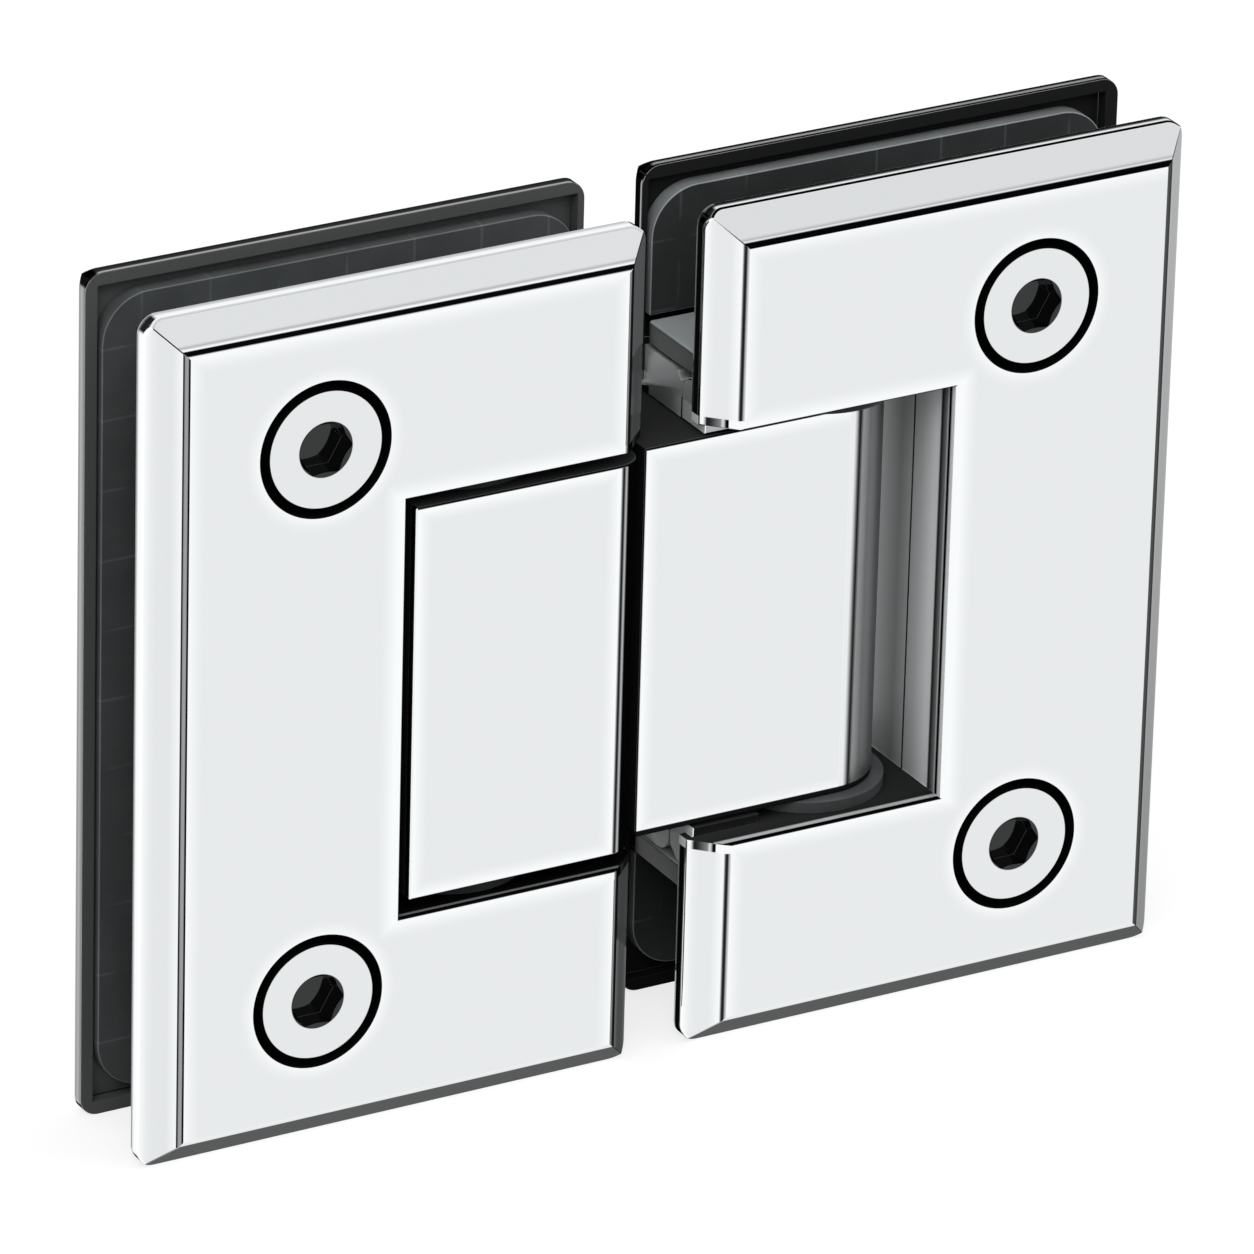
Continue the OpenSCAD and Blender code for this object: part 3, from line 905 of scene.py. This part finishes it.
DOOR_LEAF = LeafChrome(
    name="door_leaf_chrome",
    outer_edge=(
        (0.5, 0.9), (4.0, 0.2), (8.0, 0.12), (42.0, 0.04), (44.8, 0.93), (50.0, 0.85),
        (60.0, 0.5),
    ),
    hinge_edge=(
        (3.0, 0.9), (10.0, 0.6), (16.0, 0.4), (20.0, 0.1), (24.0, 0.01), (29.0, 0.03),
        (35.0, 0.2), (39.0, 0.6), (44.8, 0.82), (50.0, 0.97), (68.0, 0.95), (75.0, 0.02),
        (90.0, 0.004),
    ),
    top_edge=(
        (2.5, 0.97), (5.0, 0.4), (7.0, 0.002), (36.0, 0.002), (41.0, 0.5), (44.7, 0.97),
        (49.0, 0.9), (52.0, 0.7), (55.0, 0.002), (82.0, 0.002), (86.0, 0.8),
    ),
    top_bevel=((9.2, 0.73), (9.34, 0.6), (9.42, 0.46), (9.52, 0.8)),
    inner=((0.0, 0.42), (5.1, 0.42), (5.3, 0.02)),
    front_top_rim=((5.8, 0.01), (6.05, 0.08), (6.3, 0.8), (6.75, 0.9)),
    back_side_rim=((5.35, 0.16), (6.1, 0.22), (6.75, 0.1)),
    back_top_rim=((5.6, 0.0), (5.9, 0.32), (6.3, 0.003), (6.6, 0.003), (6.75, 0.2)),
    wall=(
        (0.0, 0.33), (4.0, 0.63), (6.4, 0.97), (7.1, 0.95), (7.35, 0.02), (7.6, 0.04),
        (8.35, 0.25), (8.53, 0.75), (8.75, 0.0), (9.05, 0.0), (9.3, 0.97),
    ),
    notch_side=((3.0, 0.97), (60.0, 0.97)),
    outer_glow=False,
    arm=((7.4, 0.03), (8.6, 0.022), (8.85, 0.6), (9.25, 0.6), (9.42, 0.0)),
    satin=0.85,
)


class Finishes:
    """All the materials of the hinge, built once and put on the pieces by name."""

    def __init__(self) -> None:
        """Builds the shared groups and the materials."""
        trees = (surface_group(), screw_group(), glow_group(), polish_group(), grid_group())
        groups = {tree.name: tree for tree in trees}
        kinds = (
            FIXED_LEAF,
            DOOR_LEAF,
            BodyChrome(),
            ScrewChrome(),
            Steel(name="pin_steel"),
            Steel(name="spring_steel", tint=(0.3, 0.31, 0.33), roughness=0.35),
            # The two gaskets are one soft vinyl, each painted with its own light and shade: darker
            # faces, lighter sides.
            Soft(
                name="fixed_gasket",
                tones=((8.0, 0.09), (14.0, 0.16), (45.0, 0.2), (72.0, 0.2), (84.0, 0.12)),
                grid=1.0,
            ),
            Soft(
                name="door_gasket",
                tones=((8.0, 0.05), (14.0, 0.3), (45.0, 0.4), (72.0, 0.38), (84.0, 0.28)),
                grid=1.0,
            ),
            # liner: its faces turned up are painted lighter, painted light
            Soft(name="liner", tones=((10.0, 0.03), (80.0, 0.045)), top=0.46, gloss=0.4),
            Soft(
                name="washer",
                tones=((10.0, 0.05), (50.0, 0.1), (80.0, 0.1)),
                roughness=0.25,
                gloss=0.4,
            ),
        )
        self.by_name = {kind.name: kind.make(groups) for kind in kinds}

    def put(self, piece: bpy.types.Object, name: str, slot: str | None = None) -> None:
        """Gives a piece its material.

        Args:
            piece: The piece.
            name: Name of the material.
            slot: Not used.
        """
        piece.data.materials.clear()
        piece.data.materials.append(self.by_name[name])


@dataclass(frozen=True)
class BrokenEdge:
    """How the edges of a piece are broken, before it is plated or as it is moulded."""

    width: float = 0.3 * MM
    segments: int = 5
    sharper_than: float = math.radians(28)
    weld: float = 0.002 * MM
    flat_within: float = math.radians(0.5)

    def apply(self, node: str, name: str, body: str) -> bpy.types.Object:
        """Makes a copy of a node with broken edges, which stands for the node.

        Args:
            node: Name of the node.
            name: Name of the new piece.
            body: Body that it moves with.

        Returns:
            The new piece.
        """
        source = bpy.data.objects[node]
        work = bmesh.new()
        work.from_mesh(source.data)
        bmesh.ops.remove_doubles(work, verts=work.verts, dist=self.weld)
        bmesh.ops.dissolve_limit(
            work, angle_limit=self.flat_within, verts=work.verts, edges=work.edges
        )
        weight = work.edges.layers.float.new("bevel_weight_edge")
        for edge in work.edges:
            if len(edge.link_faces) == 2 and edge.calc_face_angle(0.0) > self.sharper_than:
                edge[weight] = self.share(edge)
                edge.smooth = edge[weight] > 0.0
        for face in work.faces:
            face.smooth = True
        mesh = bpy.data.meshes.new(name)
        work.to_mesh(mesh)
        work.free()
        piece = bpy.data.objects.new(name, mesh)
        bpy.context.scene.collection.objects.link(piece)
        bevel = piece.modifiers.new("broken edges", "BEVEL")
        bevel.limit_method = "WEIGHT"
        bevel.width = self.width
        bevel.segments = self.segments
        bevel.use_clamp_overlap = False
        bevel.loop_slide = False
        even = piece.modifiers.new("even faces", "WEIGHTED_NORMAL")
        even.mode = "FACE_AREA"
        even.keep_sharp = True
        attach(piece, body)
        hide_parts(node)
        return piece

    def share(self, edge: bmesh.types.BMEdge) -> float:
        """Returns the share of the width that an edge gets, here all of it."""
        return 1.0


@dataclass(frozen=True)
class PlateEdge(BrokenEdge):
    """Broken edges of a plate, widest between face and bevel and finest between two bevels.

    The facing numbers bound the normal's part along Y on a bevel, a face and a rim. The
    depths from the middle plane and the distance round a screw are millimetres.
    """

    width: float = 0.42 * MM
    segments: int = 8
    notch_share: float = 0.5
    mitre_share: float = 0.18
    rim_share: float = 0.55
    inner_share: float = 0.3
    bevel_facing: Step = (0.6, 0.8)
    face_facing: float = 0.98
    rim_facing: float = 0.1
    parting_depth: float = 3.0
    face_depth: float = 9.7
    round_screw: float = 8.0

    def share(self, edge: bmesh.types.BMEdge) -> float:
        """Returns the share of the width that an edge gets, by what it lies between."""
        low, high = sorted(abs(face.normal.y) for face in edge.link_faces)
        least, most = self.bevel_facing
        place = (edge.verts[0].co + edge.verts[1].co) / (2.0 * MM)
        depth = abs(place.y)
        if least < low and high < most:
            return self.mitre_share
        if least < low < most and high > self.face_facing:
            return 1.0
        if low < self.rim_facing and least < high < most:
            return self.rim_share
        if depth < self.parting_depth:
            return 0.0
        screw = math.hypot(abs(place.x) - SCREW_SIDE, abs(place.z - MIDDLE) - SCREW_HEIGHT)
        if depth < self.face_depth or screw < self.round_screw:
            return self.inner_share
        return self.notch_share


@dataclass
class Leaf:
    """One leaf: two plates, two gaskets, the notch liner and the screws."""

    side: Side
    plate_edge: BrokenEdge = PlateEdge()
    gasket_edge: BrokenEdge = BrokenEdge(width=0.14 * MM, segments=3)
    liner_edge: BrokenEdge = BrokenEdge(width=0.35 * MM, segments=3)
    screw_edge: BrokenEdge = BrokenEdge(width=0.06 * MM, segments=3)

    def build(self, finishes: Finishes) -> None:
        """Builds the leaf's pieces and gives them their finishes."""
        chrome = f"{self.side.finish}_leaf_chrome"
        gasket = f"{self.side.finish}_gasket"
        rows = (
            ("front_plate", self.plate_edge, chrome, "chrome"),
            ("back_plate", self.plate_edge, chrome, "chrome"),
            ("front_gasket", self.gasket_edge, gasket, "gasket"),
            ("back_gasket", self.gasket_edge, gasket, "gasket"),
            ("notch_liner", self.liner_edge, "liner", "liner"),
            ("clamp_screws", self.screw_edge, "screw_chrome", "screw_chrome"),
        )
        for part, edge, finish, slot in rows:
            node = f"{self.side.word}_{part}"
            piece = edge.apply(node, f"{node}_finished", self.side.body)
            finishes.put(piece, finish, slot)
            count = len(piece.data.polygons)
            log.info("%s: %d faces before its edges are broken", piece.name, count)


@dataclass
class Barrel:
    """The hinge body with its pins, washers and detents."""

    body_edge: BrokenEdge = BrokenEdge(width=0.26 * MM)
    washer_edge: BrokenEdge = BrokenEdge(width=0.15 * MM, segments=3)

    def build(self, finishes: Finishes) -> None:
        """Builds the pieces and gives them their finishes."""
        body = self.body_edge.apply("hinge_body", "hinge_body_finished", "fixed_side")
        finishes.put(body, "body_chrome", "chrome")
        for level in ("upper", "lower"):
            for part, carrier in (("block_spacer", "fixed_side"), ("pivot_washer", "door_side")):
                node = f"{level}_{part}"
                piece = self.washer_edge.apply(node, f"{node}_finished", carrier)
                finishes.put(piece, "washer")
            for part in ("fixing_pin", "spring_plug", "detent_plunger"):
                finishes.put(bpy.data.objects[f"{level}_{part}"], "pin_steel")
            finishes.put(bpy.data.objects[f"{level}_detent_spring"], "spring_steel")
        finishes.put(bpy.data.objects["pivot_pin"], "pin_steel")
        log.info("hinge body, pins, washers and detents dressed")


@dataclass(frozen=True)
class Lamp:
    """A square soft lamp: where it hangs, the length of its sides and its power in watts."""

    name: str
    place: Point
    size: float
    watts: float


@dataclass(frozen=True)
class Card:
    """A soft dark card in the studio, as gloss sees it. All but its tone are degrees."""

    azimuth: float
    elevation: float
    outer: float
    inner: float
    tone: float

    @property
    def direction(self) -> Point:
        """Direction from the hinge to the card's middle."""
        azimuth, elevation = math.radians(self.azimuth), math.radians(self.elevation)
        level = math.cos(elevation)
        return (math.sin(azimuth) * level, -math.cos(azimuth) * level, math.sin(elevation))


@dataclass
class Studio:
    """White surroundings, soft lamps, the floor and the camera."""

    azimuth: float = math.radians(30.016)
    elevation: float = math.radians(24.749)
    roll: float = math.radians(1.552)
    distance: float = 1.14058
    lens: float = 334.38
    shift_right: float = -5.090 * MM
    shift_up: float = 2.436 * MM
    aim: Point = (0.0, -9.85 * MM, MIDDLE * MM)
    sensor: float = 36.0
    sight: float = 50.0
    floor_size: float = 6.0
    floor_points: int = 9
    floor_grey: Colour = (0.35, 0.35, 0.35)
    floor_glow: float = 0.76
    matt_light: float = 0.55
    lamps: tuple[Lamp, ...] = (
        Lamp("key", (-0.9, -1.1, 1.5), 1.2, 14.0),
        Lamp("fill", (1.2, -0.8, 0.9), 1.2, 5.0),
    )
    cards: tuple[Card, ...] = (
        Card(azimuth=133.0, elevation=-55.0, outer=34.0, inner=24.0, tone=0.12),
        Card(azimuth=108.0, elevation=-27.0, outer=24.0, inner=12.0, tone=0.44),
    )

    def axes(self) -> tuple[Vector, Vector, Vector]:
        """Returns the camera's right, up and back directions."""
        back = Vector((
            -math.sin(self.azimuth) * math.cos(self.elevation),
            -math.cos(self.azimuth) * math.cos(self.elevation),
            math.sin(self.elevation),
        ))
        level = (-back).cross(Vector((0, 0, 1))).normalized()
        upright = level.cross(-back)
        right = level * math.cos(self.roll) + upright * math.sin(self.roll)
        up = upright * math.cos(self.roll) - level * math.sin(self.roll)
        return right, up, back

    def camera(self) -> None:
        """Makes the camera at the photograph's place."""
        data = bpy.data.cameras.new("camera")
        data.lens = self.lens
        data.sensor_width = self.sensor
        data.clip_end = self.sight
        camera = bpy.data.objects.new("camera", data)
        bpy.context.scene.collection.objects.link(camera)
        right, up, back = self.axes()
        place = Vector(self.aim) + back * self.distance
        place += right * self.shift_right + up * self.shift_up
        turn = Matrix((right, up, back)).transposed().to_4x4()
        camera.matrix_world = Matrix.Translation(place) @ turn
        bpy.context.scene.camera = camera

    def floor(self) -> None:
        """Makes a flat pale floor that keeps the hinge's shadow."""
        steps = np.linspace(-0.5, 0.5, self.floor_points) * self.floor_size
        x, y = np.meshgrid(steps, steps, indexing="ij")
        points = np.stack([x, y, np.zeros_like(x)], axis=-1).reshape(-1, 3)
        count = len(steps)
        corner = (np.arange(count - 1)[:, None] * count + np.arange(count - 1)).reshape(-1)
        quads = np.stack([corner, corner + count, corner + count + 1, corner + 1], axis=-1)
        mesh = bpy.data.meshes.new("floor")
        mesh.from_pydata(points.tolist(), [], quads.tolist())
        floor = bpy.data.objects.new("floor", mesh)
        bpy.context.scene.collection.objects.link(floor)
        floor.visible_glossy = False
        floor.visible_transmission = False
        material = bpy.data.materials.new("pale floor")
        material.use_nodes = True
        nodes = Nodes(material.node_tree)
        out = nodes.add("OutputMaterial")
        matt = nodes.add("BsdfDiffuse")
        matt.inputs["Color"].default_value = colour4(self.floor_grey)
        glow = nodes.add("Emission")
        glow.inputs["Color"].default_value = colour4(WHITE)
        seen = nodes.add("LightPath").outputs["Is Camera Ray"]
        nodes.link(nodes.every(seen, self.floor_glow), glow.inputs["Strength"])
        both = nodes.add("AddShader")
        nodes.link(matt.outputs[0], both.inputs[0])
        nodes.link(glow.outputs[0], both.inputs[1])
        nodes.link(both.outputs[0], out.inputs["Surface"])
        mesh.materials.append(material)

    def hang(self, lamp: Lamp) -> None:
        """Hangs a lamp that looks at the hinge's middle."""
        data = bpy.data.lights.new(lamp.name, "AREA")
        data.size = lamp.size
        data.energy = lamp.watts
        piece = bpy.data.objects.new(lamp.name, data)
        bpy.context.scene.collection.objects.link(piece)
        piece.location = lamp.place
        sight = Vector((0.0, 0.0, MIDDLE * MM)) - Vector(lamp.place)
        piece.rotation_euler = sight.to_track_quat("-Z", "Y").to_euler()
        piece.visible_glossy = False
        piece.visible_camera = False

    def surroundings(self) -> None:
        """Fills the world: white to the camera, soft to matt surfaces, a studio to gloss."""
        world = bpy.data.worlds.new("studio")
        bpy.context.scene.world = world
        world.use_nodes = True
        nodes = Nodes(world.node_tree)
        out = nodes.add("OutputWorld")
        place = nodes.add("TexCoord")
        seen = self.studio_tone(nodes, place.outputs["Generated"])
        rays = nodes.add("LightPath").outputs
        gloss = nodes.math("MAXIMUM", rays["Is Glossy Ray"], rays["Is Transmission Ray"])
        camera = nodes.every(rays["Is Camera Ray"], 1.0 - self.matt_light)
        soft = nodes.math("ADD", camera, self.matt_light)
        plain = nodes.every(soft, nodes.inverse(gloss))
        strength = nodes.math("ADD", plain, nodes.every(gloss, seen))
        background = nodes.add("Background")
        background.inputs["Color"].default_value = colour4(WHITE)
        nodes.link(strength, background.inputs["Strength"])
        nodes.link(background.outputs[0], out.inputs["Surface"])

    def studio_tone(self, nodes: Nodes, direction: bpy.types.NodeSocket) -> bpy.types.NodeSocket:
        """Returns the studio's brightness in a direction: white with soft dark cards."""
        levels = []
        for card in self.cards:
            dot = nodes.add("VectorMath", operation="DOT_PRODUCT")
            nodes.link(direction, dot.inputs[0])
            dot.inputs[1].default_value = card.direction
            inner, outer = (math.cos(math.radians(turn)) for turn in (card.inner, card.outer))
            rise = nodes.ramp(dot.outputs["Value"], inner, outer)
            levels.append(nodes.math("ADD", nodes.every(rise, 1.0 - card.tone), card.tone))
        return nodes.every(*levels)

    def build(self) -> None:
        """Builds the whole studio."""
        self.surroundings()
        self.floor()
        for lamp in self.lamps:
            self.hang(lamp)
        self.camera()
        bpy.context.scene.view_settings.view_transform = "Standard"
        log.info("studio built")


def main() -> None:
    """Builds the hinge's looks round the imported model."""
    logging.basicConfig(level=logging.INFO, format="%(name)s: %(message)s")
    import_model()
    finishes = Finishes()
    for side in Side:
        Leaf(side).build(finishes)
    Barrel().build(finishes)
    Studio().build()


if __name__ == "__main__":
    main()
